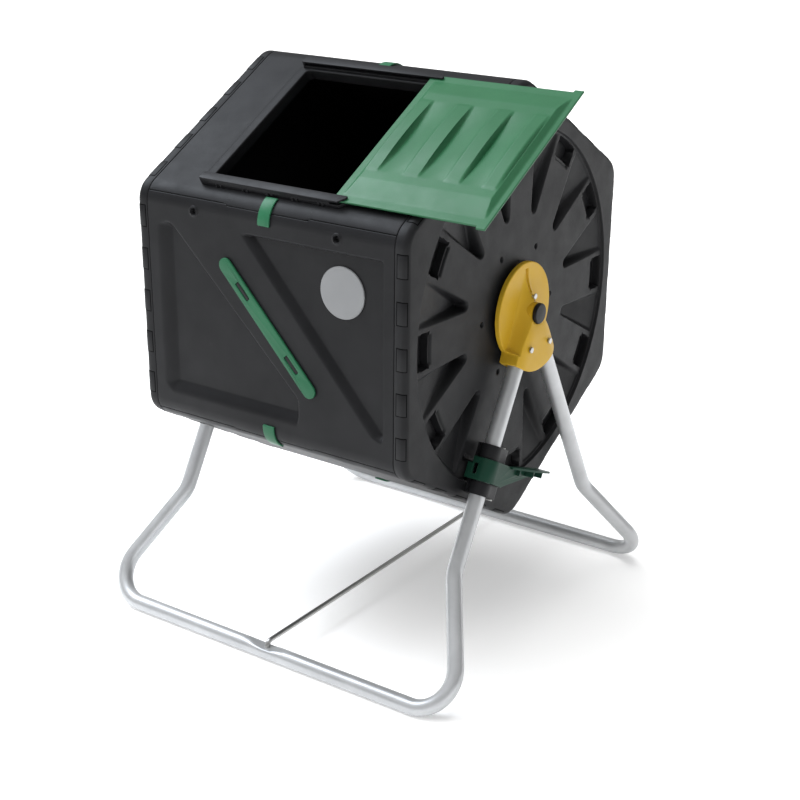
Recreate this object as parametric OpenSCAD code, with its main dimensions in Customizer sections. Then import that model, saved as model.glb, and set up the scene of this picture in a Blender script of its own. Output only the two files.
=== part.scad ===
// Single-chamber compost tumbler: a hexagonal drum on a bent-tube stand.
// X runs along the axle, Y from front to back, Z up; the floor is Z = 0.

/* [Drum] */
// height of the axle above the floor
axle_z = 467; // [430:1:500]
// centre of the drum to a corner of its hexagon
hex_r = 304; // [280:1:310]
// centre of the drum to the outer face of an end panel
drum_hx = 213; // [195:1:225]
// rounding of the long corners of the drum
hex_round = 32; // [20:1:45]
// wall thickness of the side panels
wall = 4; // [3:0.5:5]
// length of the end panel rim seen beyond the side panels
rim_l = 16; // [12:1:20]

/* [Door] */
// lowest X of the filling opening
open_x0 = -110; // [-120:1:-100]
// highest X of the filling opening
open_x1 = 94; // [80:1:100]
// half height of the filling opening
open_hu = 112; // [100:1:114]
// length of the door along the drum
door_l = 217; // [210:1:225]
// half width of the door between the rails
door_hu = 123.5; // [120:0.5:124]
// door travel from open to closed
door_travel = 203; // [195:1:205]

/* [Stand] */
// tube outer diameter
tube_d = 22; // [20:0.5:25]
// half distance between the upper legs
leg_x = 232; // [230:1:240]
// forward or backward reach of the knee
knee_y = 177; // [165:1:190]
// height of the knee
knee_z = 153; // [140:1:165]
// half width of the base where leg and base lines meet
base_x = 307; // [290:1:315]
// forward or backward reach of the base tube
base_y = 280; // [270:1:290]
// centreline radius of the base bend
bend_r = 47; // [45:1:70]
// diameter of the tie rod
rod_d = 7; // [5:0.5:8]

/* [End panel] */
// radius of the circular groove
ring_r = 240; // [230:1:244]
// depth of the tapering pockets at their inner tip
pocket_d = 20; // [10:1:22]
// half width of a lock notch
notch_hw = 23; // [20:1:27]

/* [Hidden] */
$fn = 64;
gap = 0.4;
apo = hex_r * cos(30);
tube_r = tube_d / 2;
panel_hx = drum_hx - rim_l;
leg_a = atan2(knee_y, axle_z - knee_z);
rail_x0 = -118;
rail_x1 = 108;
door_x0 = 88;
flange_w0 = 5.2;
flange_w1 = 8.2;
body_top = 18;
strip_a = atan2(-140, 130);
plastic = [0.12, 0.12, 0.13];
green = [0.2, 0.42, 0.28];
dark_green = [0.08, 0.25, 0.16];
yellow = [0.83, 0.65, 0.13];
silver = [0.72, 0.74, 0.75];
steel = [0.45, 0.45, 0.44];

// ---- placing helpers ----
module along_x(x0, len) translate([x0, 0, axle_z]) rotate([90, 0, 90]) linear_extrude(len) children();
module on_face(phi) translate([0, 0, axle_z]) rotate([phi - 90, 0, 0]) translate([0, 0, apo]) children();
module side(s) if (s > 0) children(); else mirror([1, 0, 0]) children();
// radial frame of the front leg: local X along the axle, local Y to the back, local Z up the leg
module on_leg() translate([leg_x, 0, axle_z]) rotate([-leg_a, 0, 0]) children();

// ---- outlines across the axle ----
function corner(r, rr, v) = (r - rr / cos(30)) * [cos(v), sin(v)];
function hex_pts(r, rr) = [for (k = [0:5], e = [-30, 30])
    let (v = 30 + 60 * k) corner(r, rr, v) + rr * [cos(v + e), sin(v + e)]];
module hex2d(inset) {
    r = hex_r - inset / cos(30);
    rr = hex_round - inset;
    polygon(hex_pts(r, rr));
    for (k = [0:5]) translate(corner(r, rr, 30 + 60 * k)) circle(rr);
}
module hex_ring(i0, i1) difference() { hex2d(i0); hex2d(i1); }
module wedge2d(phi, g, a = 30) {
    o = g / sin(a) * [cos(phi), sin(phi)];
    polygon([o, o + 500 * [cos(phi - a), sin(phi - a)], o + 500 * [cos(phi + a), sin(phi + a)]]);
}

// ---- sloping recesses: a floor that falls along a direction from a point ----
module above(p, dir, slope) translate(p) rotate([0, 0, dir]) rotate([0, slope, 0])
    translate([-400, -400, 0]) cube([800, 800, 120]);
module ramp_cut(pts, p, dir, slope) intersection() {
    translate([0, 0, -70]) linear_extrude(90) polygon(pts);
    above(p, dir, slope);
}
module ramp_back(pts, p, dir, slope, t) intersection() {
    translate([0, 0, -70]) linear_extrude(70 - 1) polygon(pts);
    above(p - [0, 0, t], dir, slope);
}

// ---- side panels ----
module clip_slots(g) for (e = [-1, 1]) translate([-6 - g, e * 134 - 1.3 - g, -9]) cube([12 + 2 * g, 2.6 + 2 * g, 12]);
module panel_shell(phi) {
    along_x(-panel_hx + gap, 2 * (panel_hx - gap)) intersection() {
        hex_ring(0, wall);
        wedge2d(phi, 0.2);
    }
    along_x(-172, 344) intersection() {
        hex_ring(wall - 0.1, 15);
        difference() { wedge2d(phi, 0.2); wedge2d(phi, 4); }
    }
}
module plain_panel(phi) color(plastic) difference() {
    union() {
        panel_shell(phi);
        on_face(phi) for (x = [-110, 0, 110]) translate([x - 1.5, -100, -12]) cube([3, 200, 9]);
    }
    on_face(phi) clip_slots(0.3);
}
low_pts = [[-172, 110], [-159, 110], [45, -88], [45, -116], [-172, -116]];
up_pts = [[-42, 114], [176, 114], [176, -112], [161, -112]];
low_back = [[-175, 113], [-158, 113], [48, -87], [48, -119], [-175, -119]];
up_back = [[-48, 117], [179, 117], [179, -115], [158, -115]];
recess_d = 8;
bosses = [for (x = [-115, 111]) [x, 133]];
module front_panel() color(plastic) difference() {
    union() {
        panel_shell(180);
        on_face(180) {
            for (p = [low_back, up_back]) translate([2, 1.5, -recess_d - 3]) linear_extrude(recess_d + 2) polygon(p);
            for (b = bosses) translate([b[0], b[1], -3]) cylinder(4.2, r = 7);
        }
    }
    on_face(180) {
        for (p = [low_pts, up_pts]) translate([2, 1.5, -recess_d]) linear_extrude(recess_d + 5) polygon(p);
        clip_slots(0.3);
        for (b = bosses) translate([b[0], b[1], -2]) cylinder(6, r = 4);
        translate([2, 1.5, 0]) rotate([0, 0, strip_a]) for (e = [-56, 56]) translate([e - 13.2, -2.7, -12]) cube([26.4, 5.4, 20]);
    }
}
module door_panel() color(plastic) difference() {
    union() {
        panel_shell(120);
        on_face(120) {
            for (x = [-115, 111], e = [-1, 1]) translate([x, e * 136, -3]) cylinder(4.2, r = 7);
            translate([open_x0 - 4, -open_hu - 4, -14]) cube([open_x1 - open_x0 + 8, 2 * open_hu + 8, 12]);
        }
    }
    on_face(120) {
        translate([open_x0, -open_hu, -20]) cube([open_x1 - open_x0, 2 * open_hu, 40]);
        clip_slots(0.3);
        for (x = [-115, 111], e = [-1, 1]) translate([x, e * 136, -2]) cylinder(6, r = 4);
    }
}
module clip(phi) on_face(phi) for (e = [-1, 1]) translate([-6, e * 134 - 1.3, -7]) cube([12, 2.6, 8]);
module seam_clips() color(green) for (k = [0:5]) {
    v = 30 + 60 * k;
    along_x(-9, 18) intersection() {
        hex_ring(-2.6, -0.3);
        wedge2d(v, 0, 3.6);
    }
    intersection() {
        union() {
            clip(v - 30);
            clip(v + 30);
        }
        along_x(-10, 20) wedge2d(v, 0, 8);
    }
}

// ---- end panels ----
module pocket(b) {
    pts = [[124 - b, -5 - b], [241, -33 - b], [241, 33 + b], [124 - b, 5 + b]];
    p = [239, 0, -1.5];
    if (b > 0) ramp_back(pts, p, 180, 9.2, 3);
    else ramp_cut(pts, p, 180, 9.2);
}
module end_face() translate([drum_hx, 0, axle_z]) rotate([90, 0, 90]) children();
module rim_chamfer(a, c, l) rotate([90, 0, 0]) linear_extrude(l, center = true)
    polygon([[a - c - 1, 1], [a + 1, -c - 1], [a + 9, -c - 1], [a + 9, 9], [a - c - 1, 9]]);
module end_panel(s) color(plastic) side(s) difference() {
    union() {
        along_x(panel_hx, rim_l) hex_ring(0, wall + 3.4);
        along_x(drum_hx - 4, 4) hex2d(2);
        along_x(panel_hx - 14, 15) hex_ring(wall + gap, wall + 3.4);
        end_face() {
            for (k = [0:11]) {
                rotate(30 * k + 15) pocket(3);
                rotate(30 * k) translate([210, -notch_hw - 3, -19]) cube([33, 2 * notch_hw + 6, 18]);
            }
            translate([0, 0, -24]) cylinder(23, r = 18);
        }
    }
    end_face() {
        for (k = [0:11]) {
            rotate(30 * k + 15) intersection() {
                pocket(0);
                translate([0, 0, -30]) cylinder(40, r = ring_r - 1);
            }
            rotate(30 * k) translate([213, -notch_hw, -16]) cube([26, 2 * notch_hw, 20]);
        }
        translate([0, 0, -2]) difference() {
            cylinder(4, r = ring_r + 2.5);
            translate([0, 0, -1]) cylinder(6, r = ring_r);
        }
        for (k = [0:5]) {
            rotate(60 * k) translate([88, 0, -2.5]) cylinder(4, r = 3.5);
            rotate(60 * k) rim_chamfer(apo, 10, 420);
            rotate(60 * k + 30) rim_chamfer(hex_r - 5, 9, 120);
        }
        translate([0, 0, -30]) cylinder(40, r = 10.05);
    }
}

// ---- axle pins and hubs ----
module axle_pin(s) color(plastic) side(s) end_face() {
    translate([0, 0, -24]) cylinder(51.2, r = 10);
    translate([0, 0, 27.2]) cylinder(6, r = 13.8);
}
hub_out = 33;
module leg_pair() for (e = [-1, 1]) rotate(e * leg_a - 90) children();
module hub_outline() polygon(concat([[5, 58], [-5, 58]],
    [for (a = [230:8:310]) 78 * [cos(a), sin(a)]]));
module hub_flank(e) translate([e * 10, 0, hub_out]) rotate([0, 0, e * 26]) rotate([0, e * 28, 0])
    translate([-200, -200, -60]) cube([400, 400, 60]);
module hub(s) color(yellow) side(s) end_face() difference() {
    union() {
        translate([0, 0, 1.5]) cylinder(7, r = 65.5);
        intersection() {
            translate([0, 0, 1.5]) linear_extrude(hub_out - 1.5) hub_outline();
            translate([0, 58, 9]) rotate([-17.5, 0, 0]) translate([-200, -400, -60]) cube([400, 600, 60]);
            hub_flank(1);
            hub_flank(-1);
        }
        cylinder(26.9, r = 16);
    }
    translate([0, 0, -1]) cylinder(60, r = 10.05);
    translate([0, 0, 26.9]) cylinder(20, r = 14.2);
    leg_pair() translate([25.7, 0, leg_x - drum_hx]) rotate([0, 90, 0]) cylinder(80, r = tube_r + 0.05);
    leg_pair() translate([50, 0, 18]) cylinder(30, r = 2.05);
    translate([0, 58, 9]) rotate([-17.5, 0, 0]) translate([-2.5, -34, -4]) cube([5, 32, 20]);
    translate([0, 22, 12]) cylinder(20, r = 2.05);
}
module hub_screws(s) color(silver) side(s) end_face() {
    leg_pair() translate([50, 0, 26]) {
        cylinder(8, r = 2);
        translate([0, 0, 7.5]) cylinder(2.5, r = 4);
    }
    translate([0, 22, 13]) {
        cylinder(10, r = 2);
        translate([0, 0, 9.3]) cylinder(1.8, r = 4);
    }
}

// ---- bent tubes ----
module section(r, w) difference() {
    circle(r);
    if (w > 0) circle(r - w);
}
module bar(a, b, r, w) {
    d = b - a;
    translate(a) rotate([0, acos(d.z / norm(d)), atan2(d.y, d.x)]) linear_extrude(norm(d)) section(r, w);
}
function unit(v) = v / norm(v);
function turn(p, i) = let (c = unit(p[i] - p[i - 1]) * unit(p[i + 1] - p[i])) acos(min(1, max(-1, c)));
function setback(p, i, rb) = (i == 0 || i == len(p) - 1) ? 0 : rb[i] * tan(turn(p, i) / 2);
module bend(p, i, rb, r, w) {
    d = unit(p[i] - p[i - 1]);
    e = unit(p[i + 1] - p[i]);
    n = unit(e - (e * d) * d);
    c = p[i] - setback(p, i, rb) * d + rb[i] * n;
    z = cross(-n, d);
    multmatrix([[-n.x, d.x, z.x, c.x], [-n.y, d.y, z.y, c.y], [-n.z, d.z, z.z, c.z]])
        rotate_extrude(angle = turn(p, i)) translate([rb[i], 0]) section(r, w);
}
module path_rod(p, rb, r, w = 0) {
    for (i = [0:len(p) - 2]) {
        d = unit(p[i + 1] - p[i]);
        a = p[i] + (setback(p, i, rb) + (i == 0 ? 0 : weld)) * d;
        b = p[i + 1] - (setback(p, i + 1, rb) + (i == len(p) - 2 ? 0 : weld)) * d;
        bar(a, b, r, w);
        if (i > 0) bar(a - 2 * weld * d, a + 2 * weld * d, r + 0.15, w > 0 ? w + 0.35 : 0);
        if (i < len(p) - 2) bar(b - 2 * weld * d, b + 2 * weld * d, r + 0.15, w > 0 ? w + 0.35 : 0);
    }
    for (i = [1:len(p) - 2]) bend(p, i, rb, r, w);
}
function leg_top(s) = [leg_x, -s * sin(leg_a), axle_z - s * cos(leg_a)];
function mx(v) = [-v.x, v.y, v.z];
function frame_pts(s) = let (a = [leg_top(s), [leg_x, -knee_y, knee_z], [base_x, -base_y, tube_r]])
    [a[0], a[1], a[2], mx(a[2]), mx(a[1]), mx(a[0])];
frame_rb = [0, 50, bend_r, bend_r, 50, 0];
weld = 0.6;
module stand_tube() difference() {
    union() {
        path_rod(frame_pts(26), frame_rb, tube_r, 1.5);
        translate([-34, -base_y, tube_r]) rotate([0, 90, 0]) cylinder(68, r = tube_r - 1);
    }
    translate([0, -base_y, 0]) rotate([90, 0, 0]) linear_extrude(40, center = true)
        polygon([[-32, 24], [-14, 17.5], [14, 17.5], [32, 24]]);
    translate([0, -base_y, 7]) cylinder(20, r = rod_d / 2 + 0.05);
    for (e = [-1, 1]) translate([e * (leg_x + 4), 0, axle_z]) rotate([-leg_a, 0, 0])
        translate([0, 0, -50]) rotate([0, e * 90, 0]) cylinder(12, r = 2.05);
}
module stand_tube_front() color(silver) stand_tube();
module stand_tube_rear() color(silver) mirror([0, 1, 0]) stand_tube();
module tie_rod() color(steel) path_rod([[0, -base_y, 8], [0, -base_y, 25], [0, base_y, 25], [0, base_y, 8]],
    [0, 9, 9, 0], rod_d / 2);

// ---- door, rails and fittings ----
module rail(e) color(plastic) on_face(120) mirror([0, e > 0 ? 0 : 1, 0]) difference() {
    union() {
        translate([rail_x0, 0, 0]) rotate([90, 0, 90]) linear_extrude(rail_x1 - rail_x0)
            polygon([[115, 0.3], [128, 0.3], [128, 11.2], [116, 11.2], [116, 8.7], [124, 8.7], [124, 4.7], [115, 4.7]]);
        translate([rail_x0, 115.5, 1]) cube([2.4, 10, 9]);
        for (x = [-88, -45, -6, 33, 73], d = [-3.5, 3.5]) translate([x + d - 1.5, 127, 0.3]) cube([3, 2.6, 4]);
    }
    translate([86.4, 120, 4.7]) cube([40, 20, 4]);
    translate([rail_x1, 128, 0]) rotate([0, 0, 45]) translate([-6, -20, -1]) cube([12, 40, 20]);
}
module rail_front() rail(-1);
module rail_back() rail(1);
module lens_pts_back(x, b) ramp_back([[x - 38 - b, -66 - b], [x + b, -66 - b], [x + b, 66 + b], [x - 38 - b, 66 + b]],
    [x - 38, 0, 0], 0, 9, 2.5);
module door() color(green) on_face(120) translate([door_x0, 0, 0]) difference() {
    union() {
        translate([0, -door_hu, flange_w0]) cube([door_l, 2 * door_hu, flange_w1 - flange_w0]);
        translate([door_l - 13, -127.5, flange_w0]) cube([13, 255, flange_w1 - flange_w0]);
        translate([11, -110, flange_w0]) cube([196, 220, body_top - flange_w0]);
    }
    difference() {
        translate([21, -94, flange_w0 - 1]) cube([183, 188, body_top - flange_w0 - 2]);
        translate([0, 0, body_top]) for (x = [37, 93, 150]) mirror([1, 0, 0]) translate([-2 * x - 2, 0, 0]) lens_pts_back(x + 2, 2.5);
    }
    translate([0, 0, body_top]) for (x = [37, 93, 150]) mirror([1, 0, 0]) translate([-2 * x, 0, 0])
        ramp_cut([[x - 38, -66], [x, -66], [x, 66], [x - 38, 66]], [x - 38, 0, 0], 0, 9);
    for (e = [-1, 1]) mirror([0, e > 0 ? 0 : 1, 0]) translate([0, 110, flange_w1]) rotate([55, 0, 0])
        translate([-5, 0, 0]) cube([250, 20, 30]);
    translate([11, 0, flange_w1]) rotate([0, -45, 0]) translate([-30, -150, 0]) cube([30, 300, 30]);
}
module key_strip() color(green) on_face(180) translate([2, 1.5, 0]) rotate([0, 0, strip_a]) difference() {
    union() {
        translate([-95.5, -10, 0.3]) cube([191, 20, 3]);
        for (e = [-95.5, 95.5]) translate([e, 0, 0.3]) cylinder(3, r = 10);
    }
    for (e = [-56, 56]) translate([e - 13.4, -3, -1]) cube([26.8, 6, 6]);
}
module mixing_bar() color(plastic) on_face(180) translate([2, 1.5, 0]) rotate([0, 0, strip_a]) {
    translate([-96, -8, -8]) cube([192, 16, 3.5]);
    translate([-92, -2, -52]) cube([184, 4, 45]);
    for (e = [-56, 56]) translate([e - 13, -2.5, -6]) cube([26, 5, 8.5]);
}
module badge() color([0.85, 0.85, 0.86]) on_face(180) translate([114, 65.5, 0.1 - recess_d]) cylinder(2.2, r = 33);

// ---- drum lock on the front right leg ----
pin_x = 6;
pin_n = 22;
module collar(s0, s1) translate([0, 0, -s1]) linear_extrude(s1 - s0) {
    circle(14.6);
    translate([pin_x, pin_n]) circle(6.6);
    polygon([[14.6, 0], [12.6, pin_n], [-0.6, pin_n], [-14.6, 0]]);
}
module lock_bracket() color(plastic) on_leg() difference() {
    union() {
        collar(184, 203);
        collar(234, 252);
        translate([-17, -7, -252]) cube([6, 22, 68]);
    }
    translate([0, 0, -260]) cylinder(90, r = tube_r + 0.05);
    translate([pin_x, pin_n, -260]) cylinder(90, r = 2.55);
}
module lever_pin() color(steel) on_leg() translate([pin_x, pin_n, -254]) {
    cylinder(72, r = 2.5);
    cylinder(1.8, r = 4.5);
}
module lock_lever() color(dark_green) on_leg() difference() {
    union() {
        translate([-12, -17, -233.6]) cube([13.5, 3, 30.2]);
        translate([-18.4, -17, -233.6]) cube([8, 3, 20.6]);
        translate([1.5, 0, -233.6]) intersection() {
            difference() {
                cylinder(30.2, r = 17);
                translate([0, 0, -1]) cylinder(33, r = 14);
            }
            translate([0, -20, 0]) cube([20, 20, 30.2]);
        }
        translate([15.5, 0, 0]) rotate([90, 0, 90]) linear_extrude(3)
            polygon([[0, -233.6], [20, -233.6], [112, -199], [112, -191], [34, -203.4], [0, -203.4]]);
        translate([pin_x, pin_n, -233.6]) cylinder(30.2, r = 6);
        translate([pin_x, pin_n - 5, -233.6]) cube([10, 10, 30.2]);
        translate([15.7, 33.5, -206]) rotate([8.3, 0, 0]) linear_extrude(3)
            polygon([[0, 0], [6, 0], [20, 40], [22, 79], [0, 79]]);
        for (n = [52, 76, 100]) translate([17, n, -214 + (n - 34) * 0.146])
            cube([n > 60 ? 15 : 7, 2.5, 9.5]);
    }
    translate([pin_x, pin_n, -260]) cylinder(90, r = 2.55);
    translate([-9, -20, -226]) cube([6, 10, 14]);
}

stand_tube_front();
stand_tube_rear();
tie_rod();
hub(1);  // hub_right
hub(-1);  // hub_left
hub_screws(1);  // hub_screws_right
hub_screws(-1);  // hub_screws_left
axle_pin(1);  // axle_pin_right
axle_pin(-1);  // axle_pin_left
end_panel(1);  // end_panel_right
end_panel(-1);  // end_panel_left
front_panel();  // panel_front
door_panel();  // panel_door
plain_panel(60);  // panel_top_back
plain_panel(0);  // panel_back
plain_panel(-60);  // panel_bottom_back
plain_panel(-120);  // panel_bottom_front
seam_clips();
rail_front();
rail_back();
door();
key_strip();
mixing_bar();
badge();
lock_bracket();
lock_lever();
lever_pin();
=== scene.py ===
"""Looks of the compost tumbler: refined moulded parts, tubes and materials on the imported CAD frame."""
import math

import bmesh
import bpy
import numpy as np
from mathutils import Matrix, Vector


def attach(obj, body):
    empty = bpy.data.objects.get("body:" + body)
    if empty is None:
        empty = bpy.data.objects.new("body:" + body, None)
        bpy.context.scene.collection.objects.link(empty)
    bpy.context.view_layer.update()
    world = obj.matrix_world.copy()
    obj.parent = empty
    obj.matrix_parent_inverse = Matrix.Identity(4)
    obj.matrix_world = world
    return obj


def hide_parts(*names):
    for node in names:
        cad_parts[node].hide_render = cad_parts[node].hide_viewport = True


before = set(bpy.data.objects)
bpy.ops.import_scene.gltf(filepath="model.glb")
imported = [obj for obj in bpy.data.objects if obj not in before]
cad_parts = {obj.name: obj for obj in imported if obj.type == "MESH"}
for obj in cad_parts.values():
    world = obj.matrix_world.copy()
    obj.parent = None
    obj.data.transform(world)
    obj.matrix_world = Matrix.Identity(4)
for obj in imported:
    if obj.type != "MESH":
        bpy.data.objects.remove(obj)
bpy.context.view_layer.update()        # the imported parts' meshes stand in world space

MM = 0.001

# ---- main dimensions of the part, in millimetres ----
AXLE_Z = 467.0
HEX_R = 304.0
APOTHEM = HEX_R * math.cos(math.radians(30))
HEX_ROUND = 32.0
FLAT_HALF = APOTHEM * math.tan(math.radians(30)) - HEX_ROUND * math.tan(math.radians(30))
SEAM_S = FLAT_HALF + HEX_ROUND * math.radians(30)
DRUM_HX = 213.0
PANEL_HX = 195.0
TUBE_R = 11.0
LEG_X = 232.0
KNEE_Y, KNEE_Z = 177.0, 153.0
BASE_X, BASE_Y = 307.0, 280.0
BEND_R, KNEE_R = 47.0, 50.0
LEG_A = math.atan2(KNEE_Y, AXLE_Z - KNEE_Z)


# ---- placing ----
def on_face(phi, p):
    """Points (x, u, w) of the drum side that faces phi degrees, w outwards from its flat, to the frame."""
    a = math.radians(phi - 90)
    p = np.asarray(p, float)
    r = APOTHEM + p[..., 2]
    y = -r * math.sin(a) + p[..., 1] * math.cos(a)
    z = AXLE_Z + r * math.cos(a) + p[..., 1] * math.sin(a)
    return np.stack([p[..., 0], y, z], -1)


def on_end(side, p):
    """Points (y, z from the axle, outwards) of an end of the drum, +1 right or -1 left, to the frame."""
    p = np.asarray(p, float)
    return np.stack([side * (DRUM_HX + p[..., 2]), p[..., 0], AXLE_Z + p[..., 1]], -1)


# ---- meshes ----
def make_piece(name, verts, faces, material, body, replaces=(), smooth_deg=35.0):
    """A mesh object from vertices in millimetres, with outward normals, riding on a CAD body."""
    mesh = bpy.data.meshes.new(name)
    mesh.from_pydata((np.asarray(verts, float).reshape(-1, 3) * MM).tolist(), [], faces)
    bm = bmesh.new()
    bm.from_mesh(mesh)
    bmesh.ops.remove_doubles(bm, verts=bm.verts, dist=1e-6)
    bmesh.ops.recalc_face_normals(bm, faces=bm.faces)
    bm.to_mesh(mesh)
    bm.free()
    obj = bpy.data.objects.new(name, mesh)
    bpy.context.scene.collection.objects.link(obj)
    shade(obj, smooth_deg)
    mesh.materials.append(material)
    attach(obj, body)
    if replaces:
        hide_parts(*replaces)
    return obj


def shade(obj, smooth_deg):
    """Smooth shading with edges sharper than smooth_deg kept crisp."""
    mesh = obj.data
    mesh.polygons.foreach_set("use_smooth", [True] * len(mesh.polygons))
    mesh.set_sharp_from_angle(angle=math.radians(smooth_deg))


def grid_quads(rows, cols, start=0, closed=False):
    """Quads of a rows x cols grid of vertices; closed joins the last column to the first."""
    faces = []
    last = cols if closed else cols - 1
    for i in range(rows - 1):
        a, b = start + i * cols, start + (i + 1) * cols
        for j in range(last):
            k = (j + 1) % cols
            faces.append((a + j, a + k, b + k, b + j))
    return faces


def slab(top, bottom):
    """Vertices and faces of a closed slab between two grids whose borders have the same corners."""
    r, c = top.shape[:2]
    rb, cb = bottom.shape[:2]
    n = r * c
    verts = np.concatenate([top.reshape(-1, 3), bottom.reshape(-1, 3)])
    faces = grid_quads(r, c) + grid_quads(rb, cb, n)
    t = np.arange(n).reshape(r, c)
    b = np.arange(rb * cb).reshape(rb, cb) + n
    for edge, other in ((t[0], b[0]), (t[-1], b[-1]), (t[:, 0], b[:, 0]), (t[:, -1], b[:, -1])):
        edge, other = edge.tolist(), other.tolist()
        if len(edge) == len(other):
            faces += [(edge[i], edge[i + 1], other[i + 1], other[i]) for i in range(len(edge) - 1)]
        else:
            faces.append(tuple(edge) + tuple(other[::-1]))
    return verts, faces


def tube_of(rings):
    """Vertices and faces of a closed skin through rings of equal length, capped at both ends."""
    rings = np.asarray(rings, float)
    m, n = rings.shape[:2]
    faces = grid_quads(m, n, 0, True)
    faces += [tuple(range(n)), tuple(range((m - 1) * n, m * n))]
    return rings.reshape(-1, 3), faces


def ring_body(rings):
    """Vertices and faces of a closed body through equal rings, the last ring joined to the first."""
    rings = np.asarray(rings, float)
    m, n = rings.shape[:2]
    last = (m - 1) * n
    faces = grid_quads(m, n, 0, True)
    faces += [(last + j, last + (j + 1) % n, (j + 1) % n, j) for j in range(n)]
    return rings.reshape(-1, 3), faces


def refined(name, node, material, body, bevel=0.8, segments=3, smooth_deg=40.0, angle=25.0):
    """A copy of a CAD node with its triangles joined into faces and its edges rounded."""
    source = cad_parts[node]
    bm = bmesh.new()
    bm.from_mesh(source.data)
    bmesh.ops.remove_doubles(bm, verts=bm.verts, dist=2e-6)
    bmesh.ops.dissolve_limit(bm, angle_limit=math.radians(0.6), verts=bm.verts, edges=bm.edges)
    mesh = bpy.data.meshes.new(name)
    bm.to_mesh(mesh)
    bm.free()
    obj = bpy.data.objects.new(name, mesh)
    bpy.context.scene.collection.objects.link(obj)
    if bevel:
        mod = obj.modifiers.new("rounded_edges", "BEVEL")
        mod.width = bevel * MM
        mod.segments = segments
        mod.limit_method = "ANGLE"
        mod.angle_limit = math.radians(angle)
        mod.use_clamp_overlap = True
        mod.harden_normals = False
        mod.miter_outer = "MITER_ARC"
        apply_modifiers(obj)
    shade(obj, smooth_deg)
    obj.data.materials.append(material)
    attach(obj, body)
    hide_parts(node)
    return obj


def apply_modifiers(obj):
    """The evaluated mesh takes the place of the mesh and its modifiers."""
    bpy.context.view_layer.update()
    graph = bpy.context.evaluated_depsgraph_get()
    mesh = bpy.data.meshes.new_from_object(obj.evaluated_get(graph))
    obj.modifiers.clear()
    obj.data = mesh


# ---- profiles ----
def smooth(t):
    t = np.clip(t, 0, 1)
    return t * t * (3 - 2 * t)


def fillet_in(t):
    """0 to 1 with a soft start and a crisp end: the draft of a moulded recess wall."""
    t = np.clip(t, 0, 1)
    return t * t * (1.6 - 0.6 * t)


def edge_roll(d, r):
    """Drop of a rounded edge of radius r at distance d inside the border."""
    t = np.clip(1 - d / r, 0, 1)
    return -r * (1 - np.sqrt(1 - t * t))


def half_plane(x, u, p, q):
    """Distance of (x, u) to the left of the line from p to q."""
    dx, du = q[0] - p[0], q[1] - p[1]
    n = math.hypot(dx, du)
    return ((u - p[1]) * dx - (x - p[0]) * du) / n


def recess(x, u, corners, widths, depth, power=2.5):
    """Depth of a flat-floored recess; each side of its counterclockwise outline has its own wall width."""
    missing = np.zeros_like(x)
    for i, p in enumerate(corners):
        d = half_plane(x, u, p, corners[(i + 1) % len(corners)])
        missing = missing + (1 - fillet_in(d / widths[i])) ** power
    return depth * (1 - np.clip(missing, 0, 1) ** (1 / power))


def section(s):
    """(u, w, nu, nw) of the rounded hexagon's outline at arc length s from the middle of a side."""
    s = np.asarray(s, float)
    t = np.clip((np.abs(s) - FLAT_HALF) / HEX_ROUND, 0, None)
    u = np.sign(s) * (np.minimum(np.abs(s), FLAT_HALF) + HEX_ROUND * np.sin(t))
    w = -HEX_ROUND * (1 - np.cos(t))
    return u, w, np.sign(s) * np.sin(t), np.cos(t)


def lines(lo, hi, step, edge=()):
    """Grid lines from lo to hi, with extra lines at the given distances inside both ends."""
    inner = np.linspace(lo, hi, max(2, int(round((hi - lo) / step)) + 1))
    extra = [lo + e for e in edge] + [hi - e for e in edge]
    return np.unique(np.round(np.concatenate([inner, extra]), 4))


EDGE_R = 1.1
EDGE_LINES = (0.0, 0.06, 0.2, 0.42, 0.75, 1.1)
END_GAP, SEAM_GAP = 0.4, 0.3


def seam_step(x):
    """The middle of a long seam lies this much lower than its ends, where the panels' tongues meet."""
    return 2.4 * (smooth((x + 64) / 2.5) - smooth((x - 65) / 2.5))


def side_panel(phi, step, height, back, low_step=0, high_step=0):
    """Vertices and faces of a side panel of the drum. height(x, u) is its relief, back how thick it is.
    low_step and high_step say how far its long edges follow the step of the seam, +1 outwards, -1 inwards."""
    x = lines(-PANEL_HX + END_GAP, PANEL_HX - END_GAP, step, EDGE_LINES)
    if high_step:
        x = np.unique(np.concatenate([x, STEP_LINES]))
    arc = np.linspace(FLAT_HALF, SEAM_S - 1.5, 12)
    s = np.unique(np.concatenate([lines(-SEAM_S + SEAM_GAP, SEAM_S - SEAM_GAP, step, EDGE_LINES), arc, -arc]))
    xx, ss = np.meshgrid(x, s, indexing="ij")
    near_high, near_low = smooth((ss - s[-1] + 16) / 14), smooth((s[0] + 16 - ss) / 14)
    moved = ss + (near_high * high_step - near_low * low_step) * seam_step(xx)
    u, w, nu, nw = section(moved)
    d = np.minimum(np.minimum(xx - x[0], x[-1] - xx), np.minimum(ss - s[0], s[-1] - ss))
    h = height(xx, u) + edge_roll(d, EDGE_R)
    top = on_face(phi, np.stack([xx, u + nu * h, w + nw * h], -1))
    xg, sg = np.meshgrid(np.linspace(x[0], x[-1], 3), np.linspace(s[0], s[-1], 60), indexing="ij")
    u, w, nu, nw = section(sg)
    bottom = on_face(phi, np.stack([xg, u - nu * back, w - nw * back], -1))
    return slab(top, bottom)


STEP_LINES = np.concatenate([np.linspace(-64, -61.5, 5), np.linspace(65, 67.5, 5)])
BOSSES = ((-115, 133), (111, 133))
LOW_RECESS = (((-180, 114.5), (-180, -123), (49, -123), (49, -84.5), (-156, 114.5)), (20, 18, 4, 4, 9))
UP_RECESS = (((-42, 117.5), (165, -114.5), (179.5, -114.5), (179.5, 117.5)), (12, 9, 3.5, 3.5))


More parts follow.
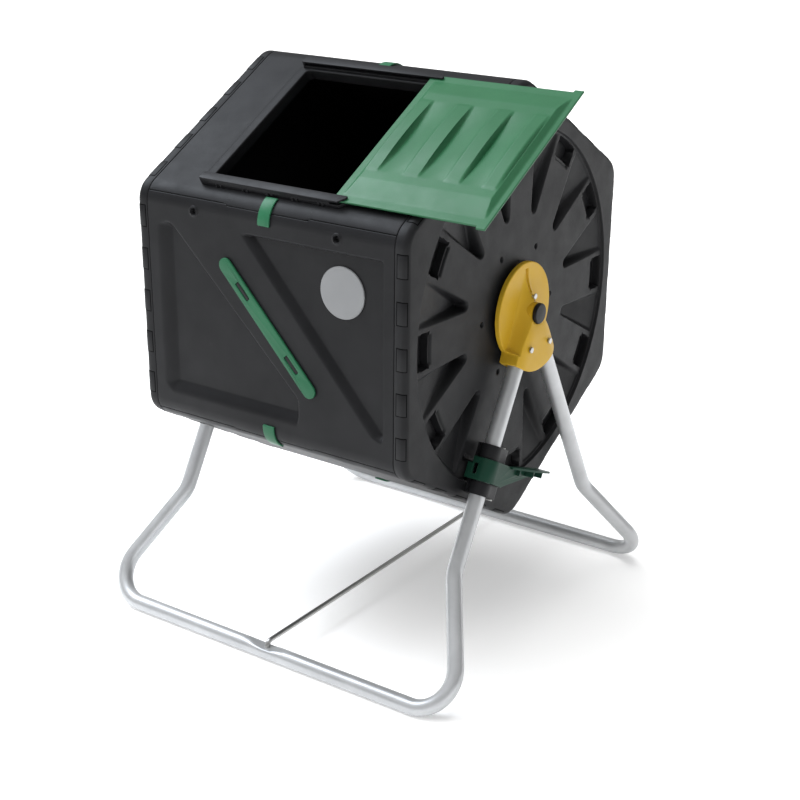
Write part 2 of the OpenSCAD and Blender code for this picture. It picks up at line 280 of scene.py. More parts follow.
def boss(x, u, bx, bu):
    """Raised rim with a countersunk hole in its middle."""
    r = np.hypot(x - bx, u - bu)
    rim = 1.3 * smooth((7.6 - r) / 1.6)
    hole = -5.5 * smooth((4.6 - r) / 1.2)
    return rim + hole


def front_relief(x, u):
    h = -recess(x, u, *LOW_RECESS, 8.0) - recess(x, u, *UP_RECESS, 8.0)
    for b in BOSSES:
        h = h + boss(x, u, *b)
    return h


def plain_relief(x, u):
    """A moulded panel is a little hollow in the middle of its face."""
    return -0.5 * np.cos(np.pi * x / 2 / PANEL_HX) * np.cos(np.clip(u / FLAT_HALF, -1, 1) * np.pi / 2)


# ---- filling opening ----
OPEN_X0, OPEN_X1, OPEN_HU = -110.0, 94.0, 112.0
OPEN_ROUND = 7.0
# the raised frame round the opening: distance from its edge, height over the panel
RAISED_FRAME = ((0.15, -0.2), (0.5, 0.7), (1.0, 1.15), (1.8, 1.3), (6, 1.3), (12, 1.3), (12.8, 1.15),
                (13.3, 0.7), (13.7, 0.25), (14.2, 0.0))


def rounded_rect(x0, x1, y0, y1, r, n_side, n_corner):
    """Points round a rectangle with rounded corners, counterclockwise from the middle of its right side."""
    pts = []
    corners = ((x1 - r, y1 - r, 0), (x0 + r, y1 - r, 90), (x0 + r, y0 + r, 180), (x1 - r, y0 + r, 270))
    for cx, cy, a0 in corners:
        for a in np.radians(np.linspace(a0, a0 + 90, n_corner)):
            pts.append((cx + r * math.cos(a), cy + r * math.sin(a)))
    pts = np.array(pts)
    out = []
    for i, p in enumerate(pts):
        q = pts[(i + 1) % len(pts)]
        n = n_side if (i + 1) % n_corner == 0 else 1
        for k in range(n):
            out.append(p + (q - p) * k / n)
    return np.array(out)


def door_side_panel(phi):
    """The side panel with the filling opening and a raised frame round it."""
    n_side, n_corner = 44, 8
    rings, levels = [], []

    def opening(d, w):
        rings.append(rounded_rect(OPEN_X0 - d, OPEN_X1 + d, -OPEN_HU - d, OPEN_HU + d, OPEN_ROUND + d,
                                  n_side, n_corner))
        levels.append(w)

    opening(0, -13)
    opening(0, -1.2)
    for d, w in RAISED_FRAME:
        opening(d, w)
    hx, hs = PANEL_HX - END_GAP, SEAM_S - SEAM_GAP
    outer = rounded_rect(-hx, hx, -hs, hs, 0.4, n_side, n_corner)
    start = rings[-1]
    for t in np.linspace(0.08, 1, 22):
        for d in EDGE_LINES[:0:-1] if t == 1 else (0.0,):
            scale = np.array([(hx - d) / hx, (hs - d) / hs]) if t == 1 else 1.0
            rings.append(start + (outer * scale - start) * t)
            levels.append(edge_roll(d, EDGE_R) if t == 1 else 0.0)
    rings.append(outer)
    levels.append(-EDGE_R)
    rings.append(outer)
    levels.append(-6.0)
    rings.append(outer * 0.97)
    levels.append(-6.0)
    pts = []
    for ring, level in zip(rings, levels):
        x, s = ring[:, 0], ring[:, 1]
        s = s - np.where(s < -128, smooth((-s - 128) / 16), 0) * seam_step(x)
        u, w, nu, nw = section(s)
        h = np.full_like(x, level)
        pts.append(on_face(phi, np.stack([x, u + nu * h, w + nw * h], -1)))
    return ring_body(pts)


# ---- ends of the drum ----
RING_R = 240.0
FACE_DROP = -4.0
RIM_R = 8.0
FACE_R = 243.0
AXLE_HOLE_R = 10.1
INNER_SKIN = -22.5
CENTRE_BOSS_R = 56.0
SMALL_HOLE_R, SMALL_HOLES_AT = 4.0, 88.0
POCKET_TIP, POCKET_MOUTH = 127.0, 237.0
NOTCH_R0, NOTCH_R1, NOTCH_HALF = 211.0, 236.5, 22.5


def hexagon(inset, theta):
    """Distance from the axle to the drum's rounded outline, moved inwards, in each direction theta."""
    apothem, rr = APOTHEM - inset, HEX_ROUND - inset
    a = (theta + math.pi / 6) % (math.pi / 3) - math.pi / 6
    a = np.abs(a)
    flat = apothem / np.cos(a)
    centre = (apothem - rr) / math.cos(math.radians(30))
    b = math.radians(30) - a
    round_ = centre * np.cos(b) + np.sqrt(np.maximum(rr ** 2 - (centre * np.sin(b)) ** 2, 0))
    reach = np.arctan2((apothem - rr) * math.tan(math.radians(30)), apothem)
    return np.where(a <= reach, flat, round_)


def end_relief(y, z):
    """Height of an end panel over its outer face: pockets, notches, the stepped disc and its centre boss."""
    r = np.hypot(y, z)
    theta = np.degrees(np.arctan2(z, y))
    h = FACE_DROP * smooth((RING_R + 0.9 - r) / 1.8)
    sector = theta % 30 - 15
    along = r * np.cos(np.radians(sector)) - POCKET_TIP
    across = np.abs(r * np.sin(np.radians(sector)))
    half = 6.2 + 26.0 * along / (POCKET_MOUTH - POCKET_TIP)
    side = (half - across) * math.cos(math.radians(13.5))
    tip_r = 7.6
    d = np.where(along > tip_r, side, tip_r - np.hypot(along - tip_r, across))
    mouth = POCKET_MOUTH - r
    floor = 1.6 + 17.5 * np.clip(1 - along / (POCKET_MOUTH - POCKET_TIP), 0, 1.2)
    h = h - floor * smooth(np.minimum(d / 7.0, mouth / 2.5 + 0.2))
    sector = (theta + 15) % 30 - 15
    across = np.abs(r * np.sin(np.radians(sector)))
    notch = np.minimum(np.minimum(r - NOTCH_R0, NOTCH_R1 - r), NOTCH_HALF - across)
    h = h - 12.0 * smooth(notch / 1.6 + 0.5)
    ledge = np.minimum(np.minimum(r - NOTCH_R0 + 5, NOTCH_R0 - r + 1), NOTCH_HALF - 3 - across)
    h = h - 2.2 * smooth(ledge / 1.4 + 0.3)
    h = h + (-FACE_DROP + 1.2) * smooth((CENTRE_BOSS_R - r) / 5)
    for k in range(6):
        hy = SMALL_HOLES_AT * math.cos(math.radians(60 * k))
        hz = SMALL_HOLES_AT * math.sin(math.radians(60 * k))
        h = h - 5.0 * smooth((SMALL_HOLE_R - np.hypot(y - hy, z - hz)) / 1.3)
    return h


def end_panel(side):
    """Vertices and faces of an end panel: relief on a polar grid, rounded rim, rim wall and an inner skin."""
    n = 840
    theta = np.linspace(0, 2 * math.pi, n, endpoint=False) + math.pi / n
    spans = ((AXLE_HOLE_R, 56, 10), (50, 57, 8), (57, 80, 6), (82, 94, 11), (94, 120, 8), (120, 160, 30),
             (160, 206, 26), (206, 214, 9), (214, 233, 11), (233, FACE_R, 21))
    radii = np.unique(np.round(np.concatenate([np.linspace(*span) for span in spans]), 3))
    rows = []
    for r in radii:
        y, z = r * np.cos(theta), r * np.sin(theta)
        rows.append(np.stack([y, z, end_relief(y, z)], -1))
    edge = hexagon(RIM_R, theta)
    for t in (0.35, 0.7, 1.0):
        r = FACE_R + (edge - FACE_R) * t
        rows.append(np.stack([r * np.cos(theta), r * np.sin(theta), 0 * r], -1))
    for a in np.radians(np.linspace(8, 90, 12)):
        r = hexagon(RIM_R * (1 - math.sin(a)), theta)
        rows.append(np.stack([r * np.cos(theta), r * np.sin(theta), 0 * r - RIM_R * (1 - math.cos(a))], -1))
    seam = -(DRUM_HX - PANEL_HX)
    rim_wall = ((0.0, seam + 0.9), (0.25, seam + 0.35), (0.8, seam + 0.05), (5.0, seam), (5.2, seam - 12),
                (8.0, seam - 12), (8.5, -22.0))
    for inset, w in rim_wall:
        r = hexagon(inset, theta)
        rows.append(np.stack([r * np.cos(theta), r * np.sin(theta), 0 * r + w], -1))
    for r in (238.0, 180.0, 120.0, 60.0, 18.0, AXLE_HOLE_R):
        rows.append(np.stack([r * np.cos(theta), r * np.sin(theta), 0 * theta + INNER_SKIN], -1))
    return ring_body(on_end(side, np.array(rows)))


SNAP_WIDTH, SNAP_AT = 27.5, (-114.5, -57.2, 0.0, 57.2, 114.5)


def snap_tabs(side, plate, margin):
    """The row of snap hooks on every side of an end panel's rim: thin plates that wrap its rounded edge."""
    verts, faces = [], []
    width = SNAP_WIDTH + 2 * margin
    arc = np.radians(np.linspace(0, 50 + 7 * margin, 9))
    flat = np.array([[-14.0 - margin, 0.0], [-RIM_R - 0.5, 0.0]])
    curve = np.stack([-RIM_R + RIM_R * np.sin(arc), RIM_R * (np.cos(arc) - 1)], -1)
    base = np.concatenate([flat, curve])
    normal = np.concatenate([[[0, 1], [0, 1]], np.stack([np.sin(arc), np.cos(arc)], -1)])
    for phi in range(0, 360, 60):
        for u0 in SNAP_AT:
            start = len(verts)
            for lift, trim in ((-0.8, 0.0), (plate * 0.5, 0.0), (plate, 0.5)):
                profile = base.copy()
                profile[0, 0] += trim
                p = profile + normal * lift
                for e in (-1, 1):
                    for x, w in p:
                        verts.append((x, u0 + e * (width / 2 - trim), w))
            n = len(base)

            def at(layer, e, j):
                return start + layer * 2 * n + e * n + j

            for j in range(n - 1):
                faces.append((at(2, 0, j), at(2, 1, j), at(2, 1, j + 1), at(2, 0, j + 1)))
                faces.append((at(0, 0, j), at(0, 0, j + 1), at(0, 1, j + 1), at(0, 1, j)))
                for k in range(2):
                    faces.append((at(k, 0, j), at(k, 0, j + 1), at(k + 1, 0, j + 1), at(k + 1, 0, j)))
                    faces.append((at(k, 1, j), at(k, 1, j + 1), at(k + 1, 1, j + 1), at(k + 1, 1, j)))
            for j in (0, n - 1):
                for k in range(2):
                    faces.append((at(k, 0, j), at(k + 1, 0, j), at(k + 1, 1, j), at(k, 1, j)))
            local = np.array(verts[start:], float)
            world = on_face(phi, np.stack([side * (DRUM_HX + local[:, 0]), local[:, 1], local[:, 2]], -1))
            verts[start:] = [tuple(v) for v in world]
    return verts, faces


# ---- hub covers ----
HUB_DISC_R, HUB_DISC_H, HUB_BACK = 65.5, 8.5, 1.5
HUB_TOP = 33.0
LOBE_R = 78.0
LOBE_CORNER = (50.1, -59.8)
LOBE_TIP = (5.0, 58.0)
CAP_RECESS_R, CAP_SEAT = 14.2, 26.9


def soft_min(*heights, k=2.4):
    """The lowest of several heights with its creases rounded."""
    return -k * np.log(sum(np.exp(-h / k) for h in heights))


def lobe_inside(y, z):
    """Distance inside the slanting sides of the lobe that covers the legs' upper ends."""
    dy, dz = LOBE_CORNER[0] - LOBE_TIP[0], LOBE_CORNER[1] - LOBE_TIP[1]
    n = math.hypot(dy, dz)
    return ((np.abs(y) - LOBE_TIP[0]) * dz - (z - LOBE_TIP[1]) * dy) / n


def hub_height(y, z):
    """Outer face of a hub cover: a flat disc from which the lobe rises in a soft slope, and its slot."""
    slope = 9.0 + (58.0 - z) * math.tan(math.radians(17.5))
    fall, lean = math.tan(math.radians(28)), math.radians(26)
    flanks = [HUB_TOP - fall * ((e * y - 10) * math.cos(lean) + z * math.sin(lean)) for e in (-1, 1)]
    roof = soft_min(slope, HUB_TOP + 0 * y, *flanks)
    width = 4 + 16 * smooth((z + 45) / 60)
    rise = np.maximum(smooth(lobe_inside(y, z) / width), smooth((-41 - z) / 7)) * smooth((60 - z) / 10)
    h = HUB_DISC_H + np.maximum(roof - HUB_DISC_H, 0) * rise
    slot = np.minimum(3.4 - np.abs(y - 1.0), np.minimum(z - 25.0, 57.0 - z))
    return h - 3.6 * smooth(slot / 1.6 + 0.4)


def hub_outline(theta):
    """Distance from the axle to a hub cover's outline: the disc, and the lobe below it."""
    c, s = np.abs(np.cos(theta)), np.sin(theta)
    dy, dz = LOBE_CORNER[0] - LOBE_TIP[0], LOBE_CORNER[1] - LOBE_TIP[1]
    across = c * dz - s * dy
    reach = (LOBE_TIP[0] * dz - LOBE_TIP[1] * dy) / np.where(np.abs(across) < 1e-6, 1e-6, across)
    lobe = np.where(s < -0.5, np.where(reach > 0, np.minimum(reach, LOBE_R), LOBE_R), 0)
    return np.maximum(HUB_DISC_R, lobe)


def hub_cover(side):
    """Vertices and faces of a yellow hub cover, on a polar grid round the axle."""
    n = 480
    theta = np.linspace(0, 2 * math.pi, n, endpoint=False)
    out, roll = hub_outline(theta), 1.6
    rows = []

    def ring(r, w):
        rows.append(np.stack([r * np.cos(theta), r * np.sin(theta), w + 0 * theta], -1))

    def face(r, drop=0.0):
        ring(r, hub_height(r * np.cos(theta), r * np.sin(theta)) - drop)

    ring(AXLE_HOLE_R + 0 * theta, HUB_BACK)
    ring(AXLE_HOLE_R + 0 * theta, CAP_SEAT)
    ring(CAP_RECESS_R - 0.05 + 0 * theta, CAP_SEAT)
    face(CAP_RECESS_R + 0 * theta, 0.8)
    face(CAP_RECESS_R + 0.25 + 0 * theta, 0.25)
    for t in np.linspace(0, 1, 62):
        face(CAP_RECESS_R + 0.8 + (out - roll - CAP_RECESS_R - 0.8) * t)
    for a in np.radians((20, 40, 60, 80, 90)):
        face(out - roll * (1 - math.sin(a)), roll * (1 - math.cos(a)))
    ring(out, HUB_BACK + 0.4)
    ring(out - 0.5, HUB_BACK)
    return ring_body(on_end(side, np.array(rows)))


# ---- sliding door ----
DOOR_X0, DOOR_L, DOOR_HU, DOOR_HU_END = 88.0, 217.0, 123.5, 127.5
FLANGE_LOW, FLANGE_TOP, PLATEAU = 5.2, 8.2, 13.7
CRESTS = ((13.0, 35.5), (71.0, 94.0), (129.5, 151.5), (182.0, 201.0))
CREST_HALF = 68.0


def door_relief(x, u):
    """Height of the door's outer skin over the panel: flange, raised body, four crests and their drops."""
    bevel_u = (111.0 - np.abs(u)) / 28.0
    bevel_l = (x - 10.0) / 7.0
    bevel_r = (209.5 - x) / 6.0
    lens = np.clip(1 - (u / CREST_HALF) ** 2, 0, None)
    rise = np.zeros_like(x)
    last_end = None
    for x0, x1 in CRESTS:
        on = smooth((x - x0 + 0.8) / 1.6) * (1 - smooth((x - x1 + 1.2) / 2.4))
        rise = rise + on * 3.3 * lens
        if last_end is not None:
            t = np.clip((x - last_end) / (x0 - last_end), 0, 1)
            ramp = (-3.6 + 6.6 * t ** 1.3) * lens
            between = smooth((x - last_end + 1.2) / 2.4) * (1 - smooth((x - x0 + 0.8) / 1.6))
            rise = rise + between * ramp
        last_end = x1
        plate = np.minimum(np.minimum(x - x0, x1 - x + 3), CREST_HALF - np.abs(u))
        rise = rise + 0.75 * smooth(plate / 1.3) * (1 - smooth((x - x1 + 1.2) / 2.4))
    body = PLATEAU + rise
    side = np.clip(np.minimum(bevel_l, bevel_r), 0, 1)
    soft = smooth(np.clip(bevel_u, 0, 1) * 0.5 + 0.5) * 2 - 1
    lift = np.minimum(side, 0.55 * np.clip(bevel_u, 0, 1) + 0.45 * soft)
    return FLANGE_TOP + (body - FLANGE_TOP) * lift


def door_mesh():
    """Vertices and faces of the sliding door, open as at rest."""
    x = lines(0, DOOR_L, 1.5, (0.0, 0.08, 0.3, 0.6, 1.0))
    u = lines(-DOOR_HU, DOOR_HU, 1.7, (0.0, 0.08, 0.3, 0.6, 1.0))
    x = np.unique(np.concatenate([x, np.linspace(203.8, 205.2, 5)]))
    xx, uu = np.meshgrid(x, u, indexing="ij")
    d = np.minimum(np.minimum(xx, DOOR_L - xx), DOOR_HU - np.abs(uu))
    h = door_relief(xx, uu)
    wide_end = smooth((xx - 204.2) / 0.8) * smooth((np.abs(uu) - 116) / 6)
    out = uu + np.sign(uu) * (DOOR_HU_END - DOOR_HU) * wide_end
    top = np.stack([DOOR_X0 + xx, out, h + edge_roll(d, 1.0)], -1)
    under = np.maximum(h - 2.7, FLANGE_LOW) - edge_roll(d, 0.6)
    bottom = np.stack([DOOR_X0 + xx, out, under], -1)
    return slab(on_face(120, top), on_face(120, bottom))


# ---- bent tubes ----
def bent_path(points, radii, step=4.0):
    """Points along a polyline with its corners rounded to the given centreline radii, in millimetres."""
    p = [np.array(q, float) for q in points]
    out = [p[0]]
    for i in range(1, len(p) - 1):
        d = (p[i] - p[i - 1]) / np.linalg.norm(p[i] - p[i - 1])
        e = (p[i + 1] - p[i]) / np.linalg.norm(p[i + 1] - p[i])
        turn = math.acos(float(np.clip(d @ e, -1, 1)))
        back = radii[i] * math.tan(turn / 2)
        n = e - (e @ d) * d
        n /= np.linalg.norm(n)
        centre = p[i] - back * d + radii[i] * n
        count = max(6, int(radii[i] * turn / step) + 1)
        for a in np.linspace(0, turn, count):
            out.append(centre + radii[i] * (math.sin(a) * d - math.cos(a) * n))
    out.append(p[-1])
    dense = [out[0]]
    for q in out[1:]:
        gap = np.linalg.norm(q - dense[-1])
        base = dense[-1]
        for k in range(1, int(gap / 12) + 1):
            if k * 12 < gap - 4:
                dense.append(base + (q - base) * (k * 12 / gap))
        dense.append(q)
    return np.array(dense)


def sweep(path, radius, sides=32, ends=0.8):
    """Rings of a round bar along a path, with slightly rounded ends."""
    tangent = np.gradient(path, axis=0)
    tangent /= np.linalg.norm(tangent, axis=1)[:, None]
    normal = np.cross(tangent[0], [0, 0, 1.0])
    if np.linalg.norm(normal) < 1e-3:
        normal = np.cross(tangent[0], [0, 1.0, 0])
    rings = []
    a = np.linspace(0, 2 * math.pi, sides, endpoint=False)
    for i, (p, t) in enumerate(zip(path, tangent)):
        normal = normal - (normal @ t) * t
        normal /= np.linalg.norm(normal)
        b = np.cross(t, normal)
        ring = p + radius * (np.cos(a)[:, None] * normal + np.sin(a)[:, None] * b)
        if i == 0:
            rings.append(p + (ring - p) * (1 - ends / radius))
            ring = ring + t * ends * 0.6
        if i == len(path) - 1:
            rings.append(ring - t * ends * 0.6)
            ring = p + (ring - p) * (1 - ends / radius)
        rings.append(ring)
    return np.array(rings)


def stand_frame(s):
    """One bent frame of the stand, s -1 front or +1 rear: legs, knees, base bends and floor bar."""
    def leg_point(dist):
        return (LEG_X, s * math.sin(LEG_A) * dist, AXLE_Z - math.cos(LEG_A) * dist)

    half = [leg_point(26.0), (LEG_X, s * KNEE_Y, KNEE_Z), (BASE_X, s * BASE_Y, TUBE_R)]
    points = half + [(-x, y, z) for x, y, z in reversed(half)]
    rings = sweep(bent_path(points, (0, KNEE_R, BEND_R, BEND_R, KNEE_R, 0)), TUBE_R)
    # the bar is pressed flat in its middle, where the cross rod hooks in
    flat_top = 17.5 + 6.5 * np.clip((np.abs(rings[..., 0]) - 13) / 18, 0, 1)
    near_bar = np.abs(rings[..., 0]) < 32
    rings[..., 2] = np.where(near_bar, np.minimum(rings[..., 2], flat_top), rings[..., 2])
    rings[..., 2] = np.maximum(rings[..., 2], 0.0)
    return tube_of(rings)


# ---- materials ----
def node_material(name, build, **sockets):
    """A Principled material; build(tree, shader, coords) adds procedural detail, sockets are plain values."""
    mat = bpy.data.materials.new(name)
    mat.use_nodes = True
    tree = mat.node_tree
    shader = tree.nodes["Principled BSDF"]
    for key, value in sockets.items():
        shader.inputs[key.replace("_", " ")].default_value = value
    coords = tree.nodes.new("ShaderNodeTexCoord").outputs["Object"]
    build(tree, shader, coords)
    return mat


def noise(tree, coords, scale, detail=3.0, rough=0.55, stretch=None, offset=0.0):
    source = coords
    if stretch or offset:
        mapping = tree.nodes.new("ShaderNodeMapping")
        mapping.inputs["Scale"].default_value = stretch or (1, 1, 1)
        mapping.inputs["Location"].default_value = (offset, offset * 0.7, offset * 1.3)
        tree.links.new(source, mapping.inputs["Vector"])
        source = mapping.outputs["Vector"]
    n = tree.nodes.new("ShaderNodeTexNoise")
    n.inputs["Scale"].default_value = scale
    n.inputs["Detail"].default_value = detail
    n.inputs["Roughness"].default_value = rough
    tree.links.new(source, n.inputs["Vector"])
    return n.outputs["Fac"]


def remap(tree, value, a, b, c, d):
    m = tree.nodes.new("ShaderNodeMapRange")
    for key, v in zip(("From Min", "From Max", "To Min", "To Max"), (a, b, c, d)):
        m.inputs[key].default_value = v
    tree.links.new(value, m.inputs["Value"])
    return m.outputs["Result"]


def mix_colour(tree, fac, a, b):
    m = tree.nodes.new("ShaderNodeMix")
    m.data_type = "RGBA"
    tree.links.new(fac, m.inputs["Factor"])
    for socket, v in ((m.inputs["A"], a), (m.inputs["B"], b)):
        if isinstance(v, tuple):
            socket.default_value = (*v, 1.0)
        else:
            tree.links.new(v, socket)
    return m.outputs["Result"]


def bump(tree, shader, height, distance, strength=1.0, under=None):
    b = tree.nodes.new("ShaderNodeBump")
    b.inputs["Distance"].default_value = distance
    b.inputs["Strength"].default_value = strength
    tree.links.new(height, b.inputs["Height"])
    if under is not None:
        tree.links.new(under, b.inputs["Normal"])
    tree.links.new(b.outputs["Normal"], shader.inputs["Normal"])
    return b.outputs["Normal"]


def moulded(dark, light, rough=(0.4, 0.55), grain_scale=1500, grain=0.00006, wear=0.0, worn=(0.2, 0.2, 0.2)):
    """Injection-moulded plastic: cloudy colour, uneven gloss, a fine grain and faint rub marks."""
    def build(tree, shader, coords):
        cloud = noise(tree, coords, 7.0, 4.0)
        colour = mix_colour(tree, remap(tree, cloud, 0.35, 0.65, 0.0, 1.0), dark, light)
        if wear:
            rub = noise(tree, coords, 60.0, 6.0, 0.7, (1, 0.35, 1))
            colour = mix_colour(tree, remap(tree, rub, 0.64, 0.8, 0.0, wear), colour, worn)
        tree.links.new(colour, shader.inputs["Base Color"])
        gloss = noise(tree, coords, 35.0, 5.0, 0.6, offset=3.1)
        tree.links.new(remap(tree, gloss, 0.3, 0.7, *rough), shader.inputs["Roughness"])
        wave = noise(tree, coords, 18.0, 2.0, 0.4, offset=5.7)
        soft = bump(tree, shader, wave, 0.0006, 0.5)
        fine = noise(tree, coords, grain_scale, 2.0)
        bump(tree, shader, fine, grain, 1.0, soft)
    return build


def painted_metal(dark, light, rough, grain=0.00003):
    """Powder-coated tube: orange-peel grain, small scuffs and a slightly uneven coat."""
    def build(tree, shader, coords):
        cloud = noise(tree, coords, 25.0, 5.0, 0.6)
        colour = mix_colour(tree, remap(tree, cloud, 0.3, 0.7, 0.0, 1.0), dark, light)
        scuff = noise(tree, coords, 90.0, 8.0, 0.75, (1, 1, 0.25), 2.3)
        bare = tuple(0.55 * c for c in dark)
        colour = mix_colour(tree, remap(tree, scuff, 0.66, 0.8, 0.0, 0.5), colour, bare)
        tree.links.new(colour, shader.inputs["Base Color"])
        tree.links.new(remap(tree, scuff, 0.3, 0.8, *rough), shader.inputs["Roughness"])
        bump(tree, shader, noise(tree, coords, 700.0, 2.0), grain)
    return build


BLACK = node_material(
    "charcoal_plastic", moulded((0.0085, 0.0086, 0.0095), (0.0125, 0.0126, 0.0138), (0.40, 0.52),
                                wear=0.2, worn=(0.03, 0.03, 0.032)), Specular_IOR_Level=0.17)
BLACK_RAIL = node_material(
    "rail_plastic", moulded((0.009, 0.009, 0.010), (0.013, 0.013, 0.0145), (0.35, 0.5)),
    Specular_IOR_Level=0.2)
# painted shade: a near-black, dull material for the plates that stand in for the shadowed gaps round the snap
# hooks
GAP_SHADE = node_material(
    "painted_gap_shadow", moulded((0.0008, 0.0008, 0.0009), (0.0014, 0.0014, 0.0015), (0.7, 0.8)),
    Specular_IOR_Level=0.02)
DOOR_GREEN = node_material(
    "door_green_plastic", moulded((0.016, 0.098, 0.040), (0.022, 0.118, 0.050), (0.33, 0.47),
                                  1800, 0.00004, 0.35, (0.012, 0.11, 0.06)), Specular_IOR_Level=0.4)
CLIP_GREEN = node_material(
    "clip_green_plastic", moulded((0.018, 0.110, 0.052), (0.024, 0.128, 0.062), (0.3, 0.45), 1800, 0.00004),
    Specular_IOR_Level=0.22)
LEVER_GREEN = node_material(
    "lever_green_plastic", moulded((0.006, 0.034, 0.021), (0.009, 0.044, 0.027), (0.3, 0.42), 1800, 0.00004),
    Specular_IOR_Level=0.22)
YELLOW = node_material(
    "hub_yellow_plastic", moulded((0.56, 0.335, 0.018), (0.63, 0.385, 0.026), (0.38, 0.52),
                                  1500, 0.00005, 0.3, (0.45, 0.26, 0.02)), Specular_IOR_Level=0.25)
SILVER = node_material(
    "silver_painted_tube", painted_metal((0.47, 0.48, 0.49), (0.55, 0.56, 0.57), (0.30, 0.45)), Metallic=0.55)
STEEL = node_material(
    "zinc_plated_steel", painted_metal((0.42, 0.42, 0.41), (0.55, 0.55, 0.54), (0.25, 0.45)), Metallic=0.9)
PLATE_GREY = node_material(
    "plate_grey_plastic", moulded((0.20, 0.205, 0.21), (0.24, 0.245, 0.25), (0.35, 0.45), 2500, 0.00001))


# ---- pieces ----
def build_drum():
    make_piece("front_side", *side_panel(180, 1.4, front_relief, 12.5, 1, -1), BLACK, "drum",
               ("panel_front",), 50)
    make_piece("opening_side", *door_side_panel(120), BLACK, "drum", ("panel_door",), 50)
    for name, phi, node in (("top_back_side", 60, "panel_top_back"), ("back_side", 0, "panel_back"),
                            ("bottom_back_side", -60, "panel_bottom_back")):
        make_piece(name, *side_panel(phi, 13.0, plain_relief, 5.0), BLACK, "drum", (node,), 50)
    make_piece("bottom_front_side", *side_panel(-120, 13.0, plain_relief, 5.0, 0, -1), BLACK, "drum",
               ("panel_bottom_front",), 50)
    for side, word in ((1, "right"), (-1, "left")):
        make_piece(f"drum_end_{word}", *end_panel(side), BLACK, "drum", (f"end_panel_{word}",), 50)
        make_piece(f"snap_hooks_{word}", *snap_tabs(side, 0.5, 0.0), BLACK, "drum", (), 40)
        # a near-black plate a little larger than the hooks is painted shade: it draws the dark gap round each
        # of them
        make_piece(f"snap_gap_shades_{word}", *snap_tabs(side, 0.14, 1.1), GAP_SHADE, "drum", (), 40)


def build_fittings():
    refined("strap_clips", "seam_clips", CLIP_GREEN, "drum", 0.5)
    refined("rail_lower", "rail_front", BLACK_RAIL, "drum", 0.6)
    refined("rail_upper", "rail_back", BLACK_RAIL, "drum", 0.6)
    refined("diagonal_strip", "key_strip", CLIP_GREEN, "drum", 0.8)
    refined("inner_mixing_bar", "mixing_bar", BLACK_RAIL, "drum", 0.6)
    make_piece("sliding_door", *door_mesh(), DOOR_GREEN, "door", ("door",), 45)
    for word in ("right", "left"):
        side = 1 if word == "right" else -1
        make_piece(f"hub_cover_{word}", *hub_cover(side), YELLOW, "stand", (f"hub_{word}",), 42)
        refined(f"axle_cap_{word}", f"axle_pin_{word}", BLACK_RAIL, "drum", 1.6, 4)
        refined(f"hub_screw_set_{word}", f"hub_screws_{word}", STEEL, "stand", 0.6)
    refined("lock_collars", "lock_bracket", BLACK_RAIL, "stand", 1.2)
    refined("lock_lever_arm", "lock_lever", LEVER_GREEN, "lever", 0.9)
    refined("lever_pivot_pin", "lever_pin", STEEL, "stand", 0.4)


def build_stand():
    make_piece("tube_front", *stand_frame(-1), SILVER, "stand", ("stand_tube_front",), 60)
    make_piece("tube_rear", *stand_frame(1), SILVER, "stand", ("stand_tube_rear",), 60)
    rod = bent_path(((0, -BASE_Y, 8), (0, -BASE_Y, 25), (0, BASE_Y, 25), (0, BASE_Y, 8)), (0, 9, 9, 0), 2.0)
    make_piece("cross_rod", *tube_of(sweep(rod, 3.5, 20, 0.6)), STEEL, "stand", ("tie_rod",), 60)


BADGE_X, BADGE_U, BADGE_W = 114.0, 65.5, -7.9


def revolve_on_face(profile, sides=96):
    """Vertices and faces of a disc turned from (radius, w) pairs about the badge's centre."""
    a = np.linspace(0, 2 * math.pi, sides, endpoint=False)
    rings = [np.stack([BADGE_X + r * np.cos(a), BADGE_U + r * np.sin(a), 0 * a + BADGE_W + w], -1)
             for r, w in profile]
    return tube_of(on_face(180, np.array(rings)))


def build_badge():
    """A plain plate with a rounded edge takes the badge's place."""
    plate = ((33.0, 0.2), (33.0, 1.4), (32.8, 1.8), (32.2, 2.05), (31.2, 2.12), (20, 2.12), (8, 2.12),
             (0.4, 2.12))
    make_piece("badge_plain_plate", *revolve_on_face(plate), PLATE_GREY, "drum", ("badge",), 50)


# ---- stage, light and camera ----
def build_stage():
    mesh = bpy.data.meshes.new("floor")
    mesh.from_pydata([(-40, -40, 0), (40, -40, 0), (40, 40, 0), (-40, 40, 0)], [], [(0, 1, 2, 3)])
    floor = bpy.data.objects.new("floor", mesh)
    bpy.context.scene.collection.objects.link(floor)

    def paper(tree, shader, coords):
        colour = mix_colour(tree, noise(tree, coords, 3.0), (0.86, 0.86, 0.86), (0.9, 0.9, 0.9))
        tree.links.new(colour, shader.inputs["Base Color"])
    mesh.materials.append(node_material("pale_floor", paper, Roughness=0.9, Specular_IOR_Level=0.1,
                                        Emission_Color=(1, 1, 1, 1), Emission_Strength=0.32))


def softbox(name, target, az, el, dist, size, power, colour):
    data = bpy.data.lights.new(name, "AREA")
    data.shape = "RECTANGLE"
    data.size, data.size_y = size
    data.energy = power
    data.color = colour
    obj = bpy.data.objects.new(name, data)
    a, e = math.radians(az), math.radians(el)
    away = Vector((math.sin(a) * math.cos(e), -math.cos(a) * math.cos(e), math.sin(e)))
    obj.location = Vector(target) + away * dist
    obj.rotation_euler = away.to_track_quat("Z", "Y").to_euler()
    bpy.context.scene.collection.objects.link(obj)
    return obj


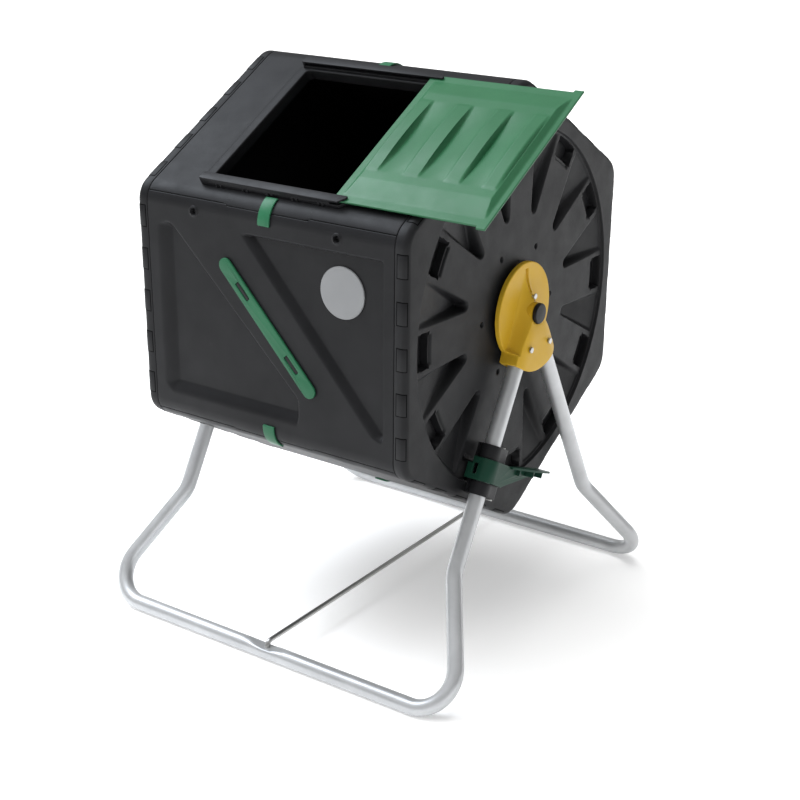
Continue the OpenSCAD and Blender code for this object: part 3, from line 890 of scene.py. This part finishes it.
def build_light():
    sun = bpy.data.lights.new("even_light", "SUN")
    sun.energy, sun.angle, sun.color = 3.0, math.radians(70), (1, 1, 1)
    obj = bpy.data.objects.new("even_light", sun)
    obj.visible_glossy = False
    obj.rotation_euler = Vector((-0.35, -0.25, 1.0)).to_track_quat("Z", "Y").to_euler()
    bpy.context.scene.collection.objects.link(obj)
    softbox("key_left", (0, 0, 0.5), -75, 50, 2.6, (1.6, 1.6), 50, (0.84, 0.91, 1.0))
    world = bpy.data.worlds.new("studio")
    world.use_nodes = True
    tree = world.node_tree
    tree.nodes.clear()
    out = tree.nodes.new("ShaderNodeOutputWorld")
    seen = tree.nodes.new("ShaderNodeBackground")
    seen.inputs["Color"].default_value = (1, 1, 1, 1)
    lit = tree.nodes.new("ShaderNodeBackground")
    lit.inputs["Strength"].default_value = 0.6
    direction = tree.nodes.new("ShaderNodeTexCoord").outputs["Generated"]
    split = tree.nodes.new("ShaderNodeSeparateXYZ")
    tree.links.new(direction, split.inputs["Vector"])
    ramp = tree.nodes.new("ShaderNodeMapRange")
    for key, v in zip(("From Min", "From Max", "To Min", "To Max"), (-0.1, 0.9, 0.12, 1.0)):
        ramp.inputs[key].default_value = v
    tree.links.new(split.outputs["Z"], ramp.inputs["Value"])
    tree.links.new(ramp.outputs["Result"], lit.inputs["Color"])
    which = tree.nodes.new("ShaderNodeLightPath")
    mixer = tree.nodes.new("ShaderNodeMixShader")
    tree.links.new(which.outputs["Is Camera Ray"], mixer.inputs["Fac"])
    tree.links.new(lit.outputs["Background"], mixer.inputs[1])
    tree.links.new(seen.outputs["Background"], mixer.inputs[2])
    tree.links.new(mixer.outputs["Shader"], out.inputs["Surface"])
    bpy.context.scene.world = world


# the viewing angle of the photograph
CAMERA_AT = (1.12031, -1.58422, 1.03121)
CAMERA_RIGHT = Vector((0.84212, 0.53874, 0.02423))
CAMERA_UP = Vector((-0.21276, 0.29062, 0.93289))
SENSOR, LENS = 36.0, 64.645
SHIFT = (-0.078, 0.0064)


def build_camera():
    data = bpy.data.cameras.new("camera")
    data.sensor_width, data.lens = SENSOR, LENS
    data.shift_x, data.shift_y = SHIFT
    data.clip_end = 200
    cam = bpy.data.objects.new("camera", data)
    back = CAMERA_RIGHT.cross(CAMERA_UP)
    axes = zip(CAMERA_RIGHT, CAMERA_UP, back, CAMERA_AT)
    cam.matrix_world = Matrix((*axes, (0, 0, 0, 1)))
    bpy.context.scene.collection.objects.link(cam)
    bpy.context.scene.camera = cam


bpy.context.scene.view_settings.view_transform = "Standard"
build_drum()
build_fittings()
build_stand()
build_badge()
build_stage()
build_light()
build_camera()
